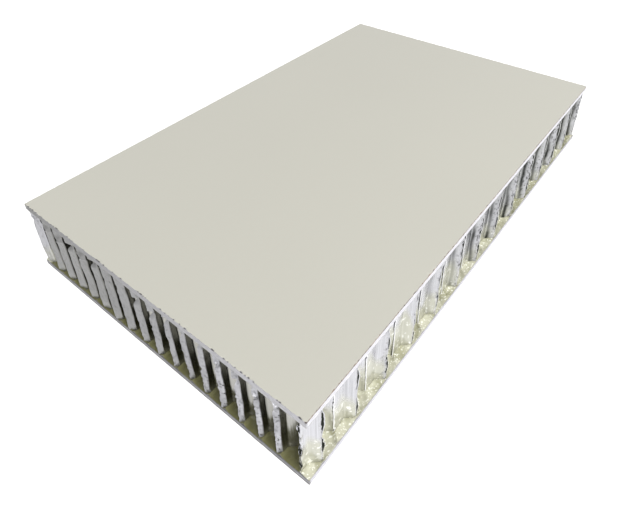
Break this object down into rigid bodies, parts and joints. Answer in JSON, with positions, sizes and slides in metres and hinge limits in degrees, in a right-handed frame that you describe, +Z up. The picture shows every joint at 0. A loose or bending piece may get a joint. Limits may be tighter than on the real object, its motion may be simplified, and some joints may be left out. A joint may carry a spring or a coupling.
{
  "type": "honeycomb sandwich panel",
  "caption": "Rectangular sawn sample of a sandwich panel: painted metal top sheet, bare bottom sheet and an expanded foil honeycomb core bonded between them with adhesive films",
  "frame": {"origin": "centre of the panel's underside", "axes": "+X along the long side and the foil ribbons, +Y across them, +Z up out of the painted sheet"},
  "size_m": [0.175, 0.11, 0.025],
  "materials": {
    "paint": "satin light grey-beige coil coating, bare metal on the sawn edges",
    "sheet": "mill finish sheet with sawn edges",
    "foil": "bright rolled foil with torn cut edges",
    "adhesive": "cured translucent yellow-green resin"
  },
  "bodies": {
    "root": {"top_sheet": "paint", "bottom_sheet": "sheet", "top_film": "adhesive", "bottom_film": "adhesive", "front_cut_ribbon": "foil", "rear_cut_ribbon": "foil", "core_ribbon_01": "foil", "core_ribbon_02": "foil", "core_ribbon_03": "foil", "core_ribbon_04": "foil", "core_ribbon_05": "foil", "core_ribbon_06": "foil", "core_ribbon_07": "foil", "core_ribbon_08": "foil", "core_ribbon_09": "foil", "core_ribbon_10": "foil", "core_ribbon_11": "foil", "core_ribbon_12": "foil", "core_ribbon_13": "foil", "core_ribbon_14": "foil", "core_ribbon_15": "foil", "core_ribbon_16": "foil", "core_ribbon_17": "foil", "core_ribbon_18": "foil", "core_ribbon_19": "foil", "core_ribbon_20": "foil", "core_ribbon_21": "foil", "core_ribbon_22": "foil", "core_ribbon_23": "foil", "core_ribbon_24": "foil", "core_ribbon_25": "foil", "core_ribbon_26": "foil", "core_ribbon_27": "foil", "core_ribbon_28": "foil", "core_ribbon_29": "foil", "core_ribbon_30": "foil", "core_ribbon_31": "foil", "core_ribbon_32": "foil", "core_ribbon_33": "foil", "core_ribbon_34": "foil", "core_ribbon_35": "foil"}
  },
  "joints": []
}
